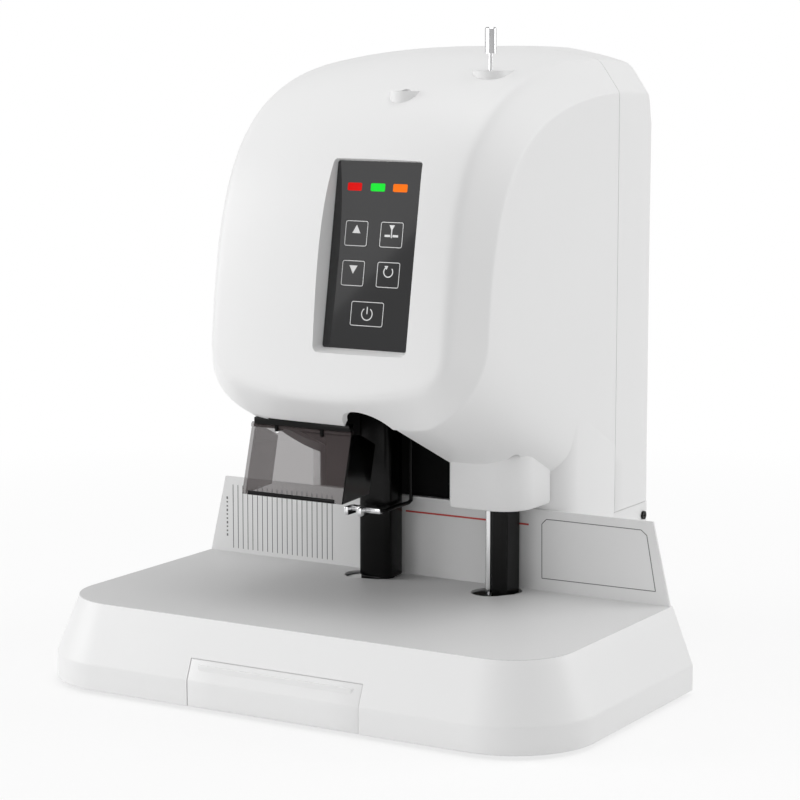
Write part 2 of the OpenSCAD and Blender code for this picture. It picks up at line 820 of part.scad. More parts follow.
module power_inlet() {
  color("black") difference() {
    union() {
      box(-97, -43.5, rear_y - 1.6, rear_y - 0.1, 39, 71);
      box(-94.9, -45.6, rear_y - 24, rear_y - 1.6, 41.1, 68.9);
    }
    box(-84, -58, rear_y - 19, rear_y + 3, 45.5, 64.5);
  }
}

module power_rocker() {
  color("black") translate([70.5, rear_y - 7.4, 48]) rotate([0, 90, 0])
    cylinder(h = 18, r = 7, center = true);
}

base_housing();
base_bottom_plate();
rubber_feet();
table_plate();
back_fence();
cutting_pad();
pad_cup();
lower_die();
die_heater();
chip_drawer();
drawer_rails();
front_cover();
rear_cover();
lower_rear_cover();
cover_screws();
rivet_housing();
bay_liner();
panel_glass();
led_red();
led_green();
led_amber();
key_up();
key_down();
key_rivet();
key_reset();
key_start();
panel_board();
smoked_shield();
shield_strip();
shield_pin();
mast_frame();
drill_guide_rods();
rivet_guide_rods();
drill_carriage();
drill_guard();
drill_bit();
drill_chuck();
drill_spindle();
spindle_pulley();
motor_pulley();
drive_belt();
drill_motor();
drill_rack();
drill_pinion();
drill_feed_motor();
press_foot();
rivet_carriage();
rivet_guard();
rivet_rod();
heater_block();
press_ram();
rivet_rack();
rivet_pinion();
rivet_feed_motor();
guide_tube();
push_rod();
transformer();
power_inlet();
power_rocker();
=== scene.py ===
"""Looks of the document riveting machine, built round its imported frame. Lengths in millimetres until
a mesh is made; X right, Y back, Z up, as in the frame."""
import math

import bmesh
import bpy
import numpy as np
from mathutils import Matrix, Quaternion, Vector


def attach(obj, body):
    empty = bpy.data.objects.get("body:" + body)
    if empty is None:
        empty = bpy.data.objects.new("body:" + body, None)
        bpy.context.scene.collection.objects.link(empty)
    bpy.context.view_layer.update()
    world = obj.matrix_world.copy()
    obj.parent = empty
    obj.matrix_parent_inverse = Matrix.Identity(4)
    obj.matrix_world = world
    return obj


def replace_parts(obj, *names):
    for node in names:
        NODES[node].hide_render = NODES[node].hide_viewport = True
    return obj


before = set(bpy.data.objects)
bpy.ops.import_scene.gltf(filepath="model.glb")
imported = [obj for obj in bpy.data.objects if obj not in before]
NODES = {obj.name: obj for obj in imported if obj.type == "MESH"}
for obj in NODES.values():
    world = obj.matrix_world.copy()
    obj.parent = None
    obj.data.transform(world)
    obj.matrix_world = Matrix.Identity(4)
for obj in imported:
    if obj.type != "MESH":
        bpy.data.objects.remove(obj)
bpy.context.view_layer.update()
MM = 0.001

# Measured sizes of the machine
HEAD_HW, EDGE_HW = 117.6, 100.0          # half widths: side wall, inner edge of the chamfer band
SEAM_Y, REAR_Y, FENCE_Y = 124.2, 186.7, 37.0
TABLE_Z, SKIRT_Z = 65.2, 22.3
PANEL_X, PANEL_LEN, PANEL_W = 28.6, 135.3, 70.5
PANEL_TILT = math.atan(23 / 133.3)
FACE_GUIDE = np.array([[SEAM_Y, 464.8], [-96.8, 465.3], [-97.6, 377.2], [-114, 238]])
SIDE_GUIDE = np.array([[SEAM_Y, 439.8], [-30.2, 434.4], [-80.5, 392], [-82.5, 242]])
BAND_CORNER = np.array([[117.6, -82, 257], [117.6, -96, 233], [96, -102, 209], [69.3, -90, 202.2]])


# ---------- shader values ----------

class Val:
    """An output socket with arithmetic; every operation adds one Math node."""

    def __init__(self, look, socket):
        self.look, self.socket = look, socket

    def _do(self, op, a, b=None):
        return self.look.node("ShaderNodeMath", {"operation": op}, {0: a} if b is None else {0: a, 1: b})

    def __add__(self, o): return self._do("ADD", self, o)
    def __radd__(self, o): return self._do("ADD", o, self)
    def __sub__(self, o): return self._do("SUBTRACT", self, o)
    def __mul__(self, o): return self._do("MULTIPLY", self, o)
    def clamp(self): return self.look.node("ShaderNodeClamp", {}, {"Value": self})


class Look:
    """A material with a Principled shader, built from expressions."""

    def __init__(self, name, **sockets):
        self.mat = bpy.data.materials.new(name)
        self.mat.use_nodes = True
        self.tree = self.mat.node_tree
        self.shader = self.tree.nodes["Principled BSDF"]
        self.set(**sockets)

    def node(self, kind, settings, inputs, out=0):
        """Adds a node, with its settings and inputs, and gives one of its outputs."""
        n = self.tree.nodes.new(kind)
        for key, value in settings.items():
            setattr(n, key, value)
        for key, value in inputs.items():
            self.feed(n.inputs[key], value)
        return Val(self, n.outputs[out])

    def feed(self, socket, value):
        """Links an expression to a socket, or sets the socket to a constant."""
        if isinstance(value, Val):
            self.tree.links.new(value.socket, socket)
        elif isinstance(value, (tuple, list)):
            value = tuple(value)
            socket.default_value = value + (1.0,) if len(socket.default_value) == 4 and len(value) == 3 else value
        else:
            socket.default_value = value

    def set(self, **sockets):
        """Feeds sockets of the Principled shader, named with underscores for spaces."""
        for key, value in sockets.items():
            self.feed(self.shader.inputs[key.replace("_", " ")], value)
        return self

    def place(self):
        """Object coordinates of the shaded point, in metres."""
        return self.node("ShaderNodeTexCoord", {}, {}, "Object")

    def noise(self, scale, detail=2.0, rough=0.5, at=None):
        """Fractal noise from 0 to 1, with so many cells to the metre."""
        return self.node("ShaderNodeTexNoise", {}, {"Vector": at or self.place(), "Scale": scale,
                         "Detail": detail, "Roughness": rough}, "Fac")

    def mix(self, amount, low, high):
        """Colour from low to high by the amount."""
        n = self.tree.nodes.new("ShaderNodeMix")
        n.data_type = "RGBA"
        self.feed(n.inputs["Factor"], amount)
        self.feed(n.inputs[6], low)
        self.feed(n.inputs[7], high)
        return Val(self, n.outputs[2])

    def bump(self, height, depth, strength=1.0):
        """Tilts the normal as if the surface rose by the height times the depth in metres."""
        self.set(Normal=self.node("ShaderNodeBump", {}, {"Height": height, "Distance": depth,
                                  "Strength": strength}, "Normal"))
        return self

    def split(self, at=None):
        """The three coordinates of a point as expressions."""
        n = self.tree.nodes.new("ShaderNodeSeparateXYZ")
        self.feed(n.inputs[0], at or self.place())
        return [Val(self, o) for o in n.outputs]


def moulded(name, tone, rough, grain, depth, drift=0.02):
    """Moulded plastic: fine spark-eroded grain, slight tone and gloss drift over the part."""
    look = Look(name)
    cloud = look.noise(9.0, 3.0)
    fine = look.noise(grain, 2.0, 0.6)
    low = [c * (1 - drift) for c in tone]
    look.set(Base_Color=look.mix(cloud, low, tone), Roughness=rough + (fine - 0.5) * 0.10)
    return look.bump(fine, depth)


def metal(name, tone, rough, scale=(1.0, 1.0, 1.0), grain=900.0, depth=2e-6):
    """Bare metal with a machined or drawn grain, stretched along the axis whose scale is small."""
    look = Look(name, Metallic=1.0)
    at = look.node("ShaderNodeMapping", {}, {"Vector": look.place(), "Scale": scale}, 0)
    lines = look.noise(grain, 3.0, 0.6, at)
    cloud = look.noise(25.0, 2.0)
    look.set(Base_Color=look.mix(cloud, [c * 0.9 for c in tone], tone), Roughness=rough + (lines - 0.5) * 0.12)
    return look.bump(lines, depth)


# ---------- meshes ----------

def make(name, verts, faces, look=None, body="machine", sharp=32.0):
    """A mesh from points in millimetres; smooth, with edges sharper than the angle kept crisp."""
    mesh = bpy.data.meshes.new(name)
    mesh.from_pydata((np.asarray(verts, float) * MM).tolist(), [], [list(map(int, f)) for f in faces])
    obj = bpy.data.objects.new(name, mesh)
    bpy.context.scene.collection.objects.link(obj)
    tidy(obj)
    if look:
        mesh.materials.append(look.mat)
    shade(obj, sharp)
    if body:
        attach(obj, body)
    return obj


def tidy(obj, outward=True):
    """Merges doubled points, drops faces without area, and turns the normals outward."""
    bm = bmesh.new()
    bm.from_mesh(obj.data)
    bmesh.ops.remove_doubles(bm, verts=bm.verts, dist=2e-6)
    bmesh.ops.dissolve_degenerate(bm, dist=1e-6, edges=bm.edges)
    if outward:
        bmesh.ops.recalc_face_normals(bm, faces=bm.faces)
    bm.to_mesh(obj.data)
    bm.free()


def shade(obj, sharp=32.0):
    """Smooth shading, with edges sharper than the angle in degrees kept crisp."""
    obj.data.polygons.foreach_set("use_smooth", np.ones(len(obj.data.polygons), bool))
    obj.data.set_sharp_from_angle(angle=math.radians(sharp))
    obj.data.update()


def bake(obj):
    """Makes the mesh what its modifiers show, and drops them."""
    graph = bpy.context.evaluated_depsgraph_get()
    graph.update()
    mesh = bpy.data.meshes.new_from_object(obj.evaluated_get(graph))
    obj.modifiers.clear()
    obj.data = mesh
    return obj


def modify(obj, kind, **settings):
    """Adds a modifier of a kind with its settings."""
    m = obj.modifiers.new(kind.lower(), kind)
    for key, value in settings.items():
        setattr(m, key, value)
    return m


def cut(obj, tool, how="DIFFERENCE"):
    """Takes the tool's volume from the object, or adds it."""
    modify(obj, "BOOLEAN", operation=how, object=tool, solver="EXACT")
    bake(obj)


def drop(*objs):
    """Deletes helper objects."""
    for o in objs:
        bpy.data.objects.remove(o)


def strips(rows, cols, closed=False, start=0):
    """Quads of a grid of points stored row by row: each joins two neighbours of a row to the same two
    of the next row; a closed grid also joins the last column to the first."""
    i, j = np.meshgrid(np.arange(rows - 1), np.arange(cols if closed else cols - 1), indexing="ij")
    a, b = i * cols + j, i * cols + (j + 1) % cols
    return (np.stack([a, b, b + cols, a + cols], -1).reshape(-1, 4) + start).tolist()


def loft(loops, caps=True):
    """Closed loops of equal count, one after another, with flat ends."""
    loops = np.asarray(loops, float)
    r, n = loops.shape[:2]
    faces = strips(r, n, closed=True)
    if caps:
        faces += [list(range(n))[::-1], [(r - 1) * n + k for k in range(n)]]
    return loops.reshape(-1, 3), faces


def rounded(x0, x1, y0, y1, radii, per=8):
    """Outline of a rectangle with corner arcs, from the lower left corner anticlockwise."""
    r = np.broadcast_to(radii, 4)
    mid = [(x0 + r[0], y0 + r[0], 180), (x1 - r[1], y0 + r[1], 270),
           (x1 - r[2], y1 - r[2], 0), (x0 + r[3], y1 - r[3], 90)]
    out = []
    for (cx, cy, a0), rad in zip(mid, r):
        a = np.radians(np.linspace(a0, a0 + 90, per + 1))
        out.append(np.stack([cx + rad * np.cos(a), cy + rad * np.sin(a)], -1))
    return np.concatenate(out)


def prism(name, outline, z0, z1, look=None, body=None, place=None, soften=0.0):
    """An outline raised from z0 to z1. Each rim is softened by a quarter round of two steps, where the
    outline is scaled about its middle so that its furthest sides come in by the inset."""
    outline = np.asarray(outline, float)
    mid = outline.mean(0)
    levels = [(z0, 0), (z1, 0)]
    if soften:
        levels = [(z0, soften), (z0 + 0.3 * soften, 0.3 * soften), (z0 + soften, 0), (z1 - soften, 0),
                  (z1 - 0.3 * soften, 0.3 * soften), (z1, soften)]
    step = outline - mid
    reach = np.abs(step).max(0)
    loops = [np.c_[mid + step * (1 - inset / reach), np.full(len(outline), z)] for z, inset in levels]
    verts, faces = loft(loops)
    if place is not None:
        verts = place(verts)
    return make(name, verts, faces, look, body)


def on_panel(p):
    """From panel coordinates (across, up, out of the glass) to the machine's: the glass leans back by
    the panel tilt, so up has the tilt's sine towards the back and its cosine in height."""
    p = np.asarray(p, float)
    s, c = math.sin(PANEL_TILT), math.cos(PANEL_TILT)
    return np.stack([PANEL_X + p[:, 0], -105 + p[:, 1] * s - p[:, 2] * c, 260.4 + p[:, 1] * c + p[:, 2] * s], -1)


# ---------- head form ----------

def bezier(p, t):
    """Cubic curve of four points, for an array of parameters."""
    t = np.asarray(t, float)[..., None]
    return (1 - t) ** 3 * p[0] + 3 * (1 - t) ** 2 * t * p[1] + 3 * (1 - t) * t * t * p[2] + t ** 3 * p[3]


# The face guide sampled evenly in its parameter, and its run (length along it) at each sample
_t = np.linspace(0, 1, 801)
_face = bezier(FACE_GUIDE, _t)
_run = np.r_[0, np.cumsum(np.linalg.norm(np.diff(_face, axis=0), axis=1))]


def face_at(x, run):
    """Point of the crowned front: the face guide at a given run from the seam, raised along its
    normal by the crown, which falls off with the 2.5th power of the distance from the middle."""
    x, run = np.broadcast_arrays(np.asarray(x, float), np.asarray(run, float))
    t = np.interp(run, _run, _t)
    p = bezier(FACE_GUIDE, t)
    d = bezier(FACE_GUIDE, np.clip(t + 1e-3, 0, 1)) - bezier(FACE_GUIDE, np.clip(t - 1e-3, 0, 1))
    d /= np.linalg.norm(d, axis=-1, keepdims=True)
    p = p + np.clip(run - _run[-1], 0, None)[..., None] * d
    n = np.stack([d[..., 1], -d[..., 0]], -1)
    crown = (10 - 5 * t) * (1 - np.minimum(np.abs(x) / EDGE_HW, 1) ** 2.5)
    q = p + crown[..., None] * n
    return np.concatenate([x[..., None], q], -1)


def underside(y):
    """Height of the underside: 145 at the fence, rising by 0.45 for each unit towards the front."""
    return 145 + 0.45 * (FENCE_Y - np.asarray(y, float))


def lift(x):
    """Rise of the underside towards the side wall: a quarter circle of 42, starting 42 inside the wall,
    so the rise is the radius less the root of its square less the square of the way in."""
    u = np.clip(np.abs(x) - 75.6, 0, 42)
    return 42 - np.sqrt(42 ** 2 - u ** 2)


def run_at(height):
    """Run along the face guide at which it passes a height of the front. Below the guide's end it goes
    straight on at the end's slope, where 0.993 of the run is height."""
    far = _face[-1, 1]
    i = np.argmax(_face[:, 1] < height)
    return _run[-1] + (far - height) / 0.993 if height < far else float(_run[i])


# Points of a ring: down each side, round each lower corner, and along the chin
ROWS, TURN, BELOW = 28, 6, 12
RUN_SIDE = run_at(260.0)


def face_ring(d):
    """Ring of the face at a distance d inside the band's inner edge, as (x, run): down the side, a
    quarter ellipse round the corner, and a chin line that sags by a parabola of 8.5, then mirrored."""
    side = np.stack([np.full(ROWS + 1, EDGE_HW - d), _run_rows], -1)
    a = np.radians(np.linspace(0, 90, TURN + 1)[1:-1])
    turn = np.stack([72 + (28 - d) * np.cos(a), RUN_SIDE + (28.5 - d) * np.sin(a)], -1)
    x = np.linspace(72, -72, BELOW + 1)
    crease = RUN_SIDE + 28.5 + 8.5 * (1 - (x / 72) ** 2) - d
    below = np.stack([x, crease], -1)
    half = np.concatenate([side, turn])
    return np.concatenate([half, below, half[::-1] * [-1, 1]])


_run_rows = np.interp(np.linspace(0, 0.95, ROWS + 1), _t, _run)
_run_rows = _run_rows * RUN_SIDE / _run_rows[-1]


def band_outer():
    """Outer edge of the chamfer band: the side guide on the side wall, a cubic curve round the corner,
    and a lip that bows forward by a parabola of 4.5 on the underside, then mirrored."""
    t = np.interp(_run_rows, _run, _t)
    s = bezier(SIDE_GUIDE, t / t[-1] * 0.955)
    side = np.c_[np.full(ROWS + 1, HEAD_HW), s]
    turn = bezier(BAND_CORNER, np.linspace(0, 1, TURN + 1)[1:-1])
    x = np.linspace(69.3, -69.3, BELOW + 1)
    y = -85.5 - 4.5 * (x / 69.3) ** 2
    below = np.stack([x, y, underside(y)], -1)
    half = np.concatenate([side, turn])
    return np.concatenate([half, below, half[::-1] * [-1, 1, 1]])


def back_lines(edge, shares):
    """From each point of the band's outer edge back to the seam plane, in straight lines at the given
    shares of the way. Points of the side end evenly spaced down the wall; points below follow the
    underside's height and round, and what the edge stands above them dies out with the square of the
    way left."""
    n = len(edge)
    k = np.arange(n)
    k = np.minimum(k, n - 1 - k)
    end = edge.copy()
    end[:, 1] = SEAM_Y
    on_side = k <= ROWS
    fall = k / ROWS
    end[:, 2] = np.where(on_side, 439.8 - fall * (439.8 - 160), underside(SEAM_Y) + lift(edge[:, 0]))
    out = []
    for w in shares:
        p = edge + (end - edge) * w
        rest = edge[:, 2] - underside(edge[:, 1]) - lift(edge[:, 0])
        z = underside(p[:, 1]) + lift(p[:, 0]) + rest * (1 - w) ** 2
        p[:, 2] = np.where(on_side, p[:, 2], z)
        out.append(p)
    return out


def head_cage():
    """Control cage of the head: crowned face, picture-frame band, side walls and underside. The face's
    grid is a Coons patch: the sum of the blends between opposite sides of its ring less the blend of
    its four corners. The band is blended in straight steps from the face's ring to its outer edge."""
    ring = face_ring(15)
    rows, cols = ROWS + TURN // 2 + 1, BELOW + TURN + 1
    right, left = ring[:rows], ring[::-1][:rows]
    low = ring[rows - 1:rows - 1 + cols]
    u = np.linspace(0, 1, cols)[None, :, None]
    v = np.linspace(0, 1, rows)[:, None, None]
    top = right[0] + (left[0] - right[0]) * u[0]
    grid = ((1 - u) * right[:, None] + u * left[:, None] + (1 - v) * top[None] + v * low[None]
            - (1 - u) * (1 - v) * right[0] - u * (1 - v) * left[0] - (1 - u) * v * right[-1] - u * v * left[-1])
    inner = face_at(grid[..., 0], grid[..., 1]).reshape(-1, 3)
    faces = strips(rows, cols)
    edge_ids = [i * cols for i in range(rows)] + [(rows - 1) * cols + j for j in range(1, cols - 1)]
    edge_ids += [i * cols + cols - 1 for i in range(rows)][::-1]
    loops = [face_at(*face_ring(8).T), face_at(*face_ring(0).T)]
    outer = band_outer()
    loops += [loops[1] + (outer - loops[1]) * w for w in (0.3, 0.62, 0.93)] + [outer]
    loops += back_lines(outer, (0.02, 0.14, 0.3, 0.45, 0.6, 0.72, 0.86, 1.0))
    n = len(outer)
    verts = np.concatenate([inner] + loops)
    base = len(inner)
    for j in range(n - 1):
        faces.append([edge_ids[j], edge_ids[j + 1], base + j + 1, base + j])
    faces += strips(len(loops), n, start=base)
    return verts, faces


def close_holes(obj):
    """Closes every open rim with a face and turns the normals outward."""
    bm = bmesh.new()
    bm.from_mesh(obj.data)
    bmesh.ops.holes_fill(bm, edges=[e for e in bm.edges if e.is_boundary])
    bmesh.ops.recalc_face_normals(bm, faces=bm.faces)
    bm.to_mesh(obj.data)
    bm.free()


def rim_loop(obj):
    """The open rear edge of a mesh, in order, in millimetres."""
    bm = bmesh.new()
    bm.from_mesh(obj.data)
    edges = [e for e in bm.edges if e.is_boundary]
    links = {}
    for e in edges:
        for v in e.verts:
            links.setdefault(v, []).append(e.other_vert(v))
    start = max(links, key=lambda v: v.co.z)
    loop, seen, v = [start], {start}, start
    while True:
        nxt = [w for w in links[v] if w not in seen]
        if not nxt:
            break
        v = nxt[0]
        seen.add(v)
        loop.append(v)
    out = np.array([p.co[:] for p in loop]) / MM
    bm.free()
    return out


# ---------- finishes ----------

white = moulded("white_plastic", (0.83, 0.83, 0.83), 0.42, 900.0, 1.5e-5)
drawer_white = moulded("drawer_plastic", (0.83, 0.83, 0.83), 0.42, 900.0, 1.5e-5)
table_grey = moulded("table_coating", (0.66, 0.66, 0.66), 0.5, 700.0, 4e-5)
fence_grey = moulded("fence_coating", (0.75, 0.75, 0.75), 0.45, 1200.0, 1e-5)
black = moulded("black_plastic", (0.002, 0.002, 0.002), 0.24, 900.0, 1e-5, 0.1).set(Specular_IOR_Level=0.16)
deep_black = moulded("bay_black", (0.003, 0.003, 0.003), 0.7, 500.0, 2e-5, 0.1).set(Specular_IOR_Level=0.12)
glass_black = Look("panel_glass", Roughness=0.06, Coat_Weight=0.6, Coat_Roughness=0.03)
glass_black.set(Base_Color=glass_black.mix(glass_black.noise(14.0), (0.010, 0.010, 0.011), (0.013, 0.013, 0.014)))
rubber = moulded("rubber", (0.03, 0.03, 0.03), 0.8, 600.0, 6e-5, 0.2)
pad = moulded("pad_white", (0.85, 0.85, 0.84), 0.6, 500.0, 3e-5)
bright = metal("bright_steel", (0.80, 0.80, 0.81), 0.16, (1, 1, 0.08))
steel = metal("plated_steel", (0.62, 0.63, 0.64), 0.34, (1, 1, 1), 400.0)
cast = metal("machined_aluminium", (0.66, 0.67, 0.69), 0.38, (0.1, 1, 1), 600.0)
brass = metal("brass", (0.78, 0.58, 0.27), 0.28, (1, 1, 1), 700.0)
dark_metal = moulded("dark_enamel", (0.05, 0.05, 0.055), 0.4, 500.0, 2e-5, 0.1)
board_green = moulded("board_lacquer", (0.03, 0.16, 0.07), 0.35, 300.0, 1e-5, 0.3)
print_dark = moulded("print_dark", (0.13, 0.13, 0.13), 0.6, 2000.0, 2e-6)
print_red = moulded("print_red", (0.55, 0.06, 0.05), 0.6, 2000.0, 2e-6)
print_white = moulded("print_white", (0.80, 0.80, 0.80), 0.5, 2000.0, 2e-6)
smoked = Look("smoked_acrylic", Roughness=0.05, Alpha=0.42)
smoked.set(Base_Color=smoked.mix(smoked.noise(12.0), (0.065, 0.047, 0.047), (0.08, 0.058, 0.058)))


def lamp(name, tone, glow):
    """Lit lamp window: glowing lens, brighter in its middle streaks."""
    look = Look(name, Roughness=0.4, Specular_IOR_Level=0.1, Emission_Strength=glow)
    wave = look.noise(300.0, 1.0)
    look.set(Base_Color=[c * 0.3 for c in tone], Emission_Color=look.mix(wave, [c * 0.85 for c in tone], tone))
    return look


lamp_red, lamp_green, lamp_amber = (lamp("lamp_red", (0.70, 0.002, 0.001), 0.85),
                                    lamp("lamp_green", (0.01, 0.80, 0.04), 0.85),
                                    lamp("lamp_amber", (0.9, 0.17, 0.005), 0.9))

FINISH = {
    white: "base_housing front_cover rear_cover lower_rear_cover rivet_housing",
    drawer_white: "chip_drawer", table_grey: "table_plate", fence_grey: "back_fence",
    pad: "cutting_pad", rubber: "rubber_feet drive_belt",
    black: "pad_cup drill_guard rivet_guard shield_strip shield_pin cover_screws power_inlet power_rocker",
    deep_black: "bay_liner", glass_black: "panel_glass key_up key_down key_rivet key_reset key_start",
    bright: "lower_die drill_guide_rods rivet_guide_rods drill_bit drill_spindle "
            "press_foot rivet_rod press_ram guide_tube push_rod",
    steel: "base_bottom_plate drawer_rails mast_frame drill_rack rivet_rack",
    cast: "drill_carriage rivet_carriage", brass: "die_heater heater_block drill_pinion rivet_pinion",
    dark_metal: "drill_chuck spindle_pulley motor_pulley drill_motor drill_feed_motor rivet_feed_motor transformer",
    board_green: "panel_board", smoked: "smoked_shield",
    lamp_red: "led_red", lamp_green: "led_green", lamp_amber: "led_amber",
}
for look, names in FINISH.items():
    for name in names.split():
        for s in NODES[name].material_slots:
            s.material = look.mat

# ---------- head and column ----------

verts, faces = head_cage()
head = make("head_front_shell", verts, faces, white)
modify(head, "SUBSURF", levels=2, render_levels=2, boundary_smooth="ALL")
bake(head)
rear_rim = rim_loop(head)

close_holes(head)
# The inside is the same form, drawn in towards the axis by the wall's thickness
cavity = head.copy()
cavity.data = head.data.copy()
bpy.context.scene.collection.objects.link(cavity)
co = np.empty(len(cavity.data.vertices) * 3)
cavity.data.vertices.foreach_get("co", co)
co = co.reshape(-1, 3) * [0.974, 0.9918, 0.978] + [0, 0.0034, 0.0063]
cavity.data.vertices.foreach_set("co", co.ravel())
block = prism("recess_block", rounded(-PANEL_W / 2 - 5, PANEL_W / 2 + 11.5, -9.5, PANEL_LEN + 7.5, 9), -4, 40,
              place=on_panel)
cut(cavity, block)
drop(block)


def recess():
    """Space of the panel recess: its walls flare from the glass to the head's surface. Each side moves
    out in proportion to the share "out", which is 0 at the glass and 1 at 16 above it."""
    def outline(out, z):
        """Rounded ring of the recess at a share of the flare and a height over the glass."""
        ring = rounded(-PANEL_W / 2 - 0.4 - 1.2 * out, PANEL_W / 2 + 0.6 + 7.8 * out, -0.6 - 5.8 * out,
                       PANEL_LEN + 0.4 + 4 * out, 2.5 + 3.5 * out)
        return on_panel(np.c_[ring, np.full(len(ring), z)])
    steps = ((0, -0.3), (0.02, 1), (0.1, 3), (0.3, 6), (0.6, 10), (1, 16), (1.5, 26))
    verts, faces = loft([outline(w, z) for w, z in steps])
    return make("pocket", verts, faces, None, None)


def port(name, x, y, z, r, back):
    """Tube port: flat-topped block with a half-round front, run back into the crown."""
    a = np.radians(np.linspace(180, 360, 25))
    front = np.stack([x + r * np.cos(a), y + r * np.sin(a)], -1)
    return prism(name, np.concatenate([front, [[x + r, y + back], [x - r, y + back]]]), z - 9, z, white)


for tool in (port("port_1", 24, -40, 443, 11, 22), port("port_2", 72, 2, 457.5, 13, 16)):
    cut(head, tool, "UNION")
    drop(tool)
cut(head, cavity)

cutters = [
    recess(),
    prism("window", rounded(-PANEL_W / 2 + 4, PANEL_W / 2 - 4, 4, PANEL_LEN - 4, 3), -19, 20, place=on_panel),
    prism("column_room", rounded(-HEAD_HW + 3, HEAD_HW - 3, FENCE_Y + 5, SEAM_Y + 9, (19, 19, 1, 1)), 50, 222),
    prism("rivet_room", rounded(49.3, 101, -9, FENCE_Y + 3, 3), 120, 222),
    prism("port_hole_1", rounded(19.5, 28.5, -44.5, -35.5, 4.5), 400, 500),
    prism("port_hole_2", rounded(68, 76, -2, 6, 4), 400, 500),
]
bay_plan = [[-66, -88.4], [-60, -88.2], [-40, -86.8], [0, -85.6], [45.5, -87.4], [45.5, 60], [-101.4, 60],
            [-101.4, 37], [-86, -30]]
cutters.append(prism("bay_opening", bay_plan, 110, 215))
NOTCH_X, NOTCH_Z, NOTCH_R = 21.4, 192.3, 22.7
a = np.radians(np.linspace(0, 360, 49)[:-1])
verts, faces = loft([np.c_[NOTCH_X + NOTCH_R * np.cos(a), np.full(48, y), NOTCH_Z + NOTCH_R * np.sin(a)]
                     for y in (-140, -60)])
cutters.append(make("round_notch", verts, faces, None, None))
for tool in cutters:
    cut(head, tool)

plan = rounded(-HEAD_HW + 0.01, HEAD_HW - 0.01, FENCE_Y + 2, SEAM_Y, (22, 22, 0.01, 0.01), 16)
column = prism("column_shell", plan, TABLE_Z, 222, white, "machine")
cut(column, cutters[2])
wide = prism("bay_rear", rounded(-101.4, 45.5, 20, 60, 1), 127.5, 240)
cut(column, wide)
drop(wide, cavity, *cutters)
for obj in (head, column):
    tidy(obj, outward=False)
    shade(obj)
    obj.data.materials.clear()
    obj.data.materials.append(white.mat)
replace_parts(head, "front_cover")
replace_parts(column, "front_cover")

# Rear cover: the head's own rear edge carried back, with legs down to the lower cover, closed by a
# softly rounded rear face. A loop's points come in towards the middle by its inset, and its upper
# corners by its fall as well.
arch = rear_rim[rear_rim[:, 2] > 160]
order = np.argsort(-np.arctan2(arch[:, 2] - 150, arch[:, 0]))
arch = arch[order]
leg = np.linspace(0, 1, 5)[:, None]
left = np.array([[-HEAD_HW, 0, 113]]) + leg * (arch[:1] * [1, 0, 1] - [[-HEAD_HW, 0, 113]])
right = arch[-1:] * [1, 0, 1] + leg * ([[HEAD_HW, 0, 113]] - arch[-1:] * [1, 0, 1])
arch = np.concatenate([left[:-1], arch * [1, 0, 1], right[1:]])
middle = np.array([0, 0, 290])
loops = []
shoulder = np.clip((np.abs(arch[:, 0]) - 45) / 50, 0, 1) * np.clip((arch[:, 2] - 415) / 25, 0, 1)
for y, inset, fall in [(SEAM_Y + 0.9, 0.5, 0), (SEAM_Y + 1.4, 0, 0), (140, 0, 0.3), (160, 0, 1.3),
                       (REAR_Y - 6, 0, 3.3), (REAR_Y - 3.4, 0.5, 3.5), (REAR_Y - 1.2, 2, 3.5),
                       (REAR_Y - 0.3, 4, 3.5), (REAR_Y, 6.5, 3.5)]:
    step = arch - middle
    reach = np.linalg.norm(step[:, [0, 2]], axis=1, keepdims=True)
    loop = middle + step * (1 - (inset + fall * shoulder[:, None]) / reach) + [0, y, 0]
    loop[:, 2] = np.where(arch[:, 2] < 113.5, 113, loop[:, 2])
    loops.append(loop)
for w in (0.6, 0.2):
    loops.append(loops[8] * [w, 1, 1])
verts = np.concatenate(loops)
faces = strips(len(loops), len(arch))
m = len(arch)
last = (len(loops) - 1) * m
faces += [[last + k, last + k + 1, last + m - 2 - k, last + m - 1 - k] for k in range(m // 2 - 1)]
rear = make("rear_shell", verts, faces, white)
modify(rear, "SOLIDIFY", thickness=0.003, offset=-1.0)
bake(rear)
slots = []
for i in range(9):
    for s in (-45, 45):
        box = rounded(s - 28, s + 28, 300 + 12 * i, 304 + 12 * i, 2)
        slots.append(prism("slot", box, REAR_Y - 12, REAR_Y + 4, place=lambda v: v[:, [0, 2, 1]]))
bpy.context.view_layer.update()
first = slots[0]
bm = bmesh.new()
for s in slots:
    bm.from_mesh(s.data)
bmesh.ops.recalc_face_normals(bm, faces=bm.faces)
bm.to_mesh(first.data)
bm.free()
cut(rear, first)
drop(*slots)
shade(rear)
rear.data.materials.clear()
rear.data.materials.append(white.mat)
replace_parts(rear, "rear_cover")

# ---------- base ----------

def base_loop(hw, front, r, z, back=41.0, per=20):
    """Outline of the base at a height: front corners round, rear corners all but sharp."""
    return np.c_[rounded(-hw, hw, front, back, (r, r, 0.02, 0.02), per), np.full(4 * (per + 1), z)]


def base_at(z):
    """Half width, front and corner radius of the base at a height: upright skirt, then a wall that
    leans in by 0.4 per unit of height."""
    lean = 0.4 * max(0.0, z - SKIRT_Z)
    return 223.6 - lean, -186.3 + lean, 64.8 - lean


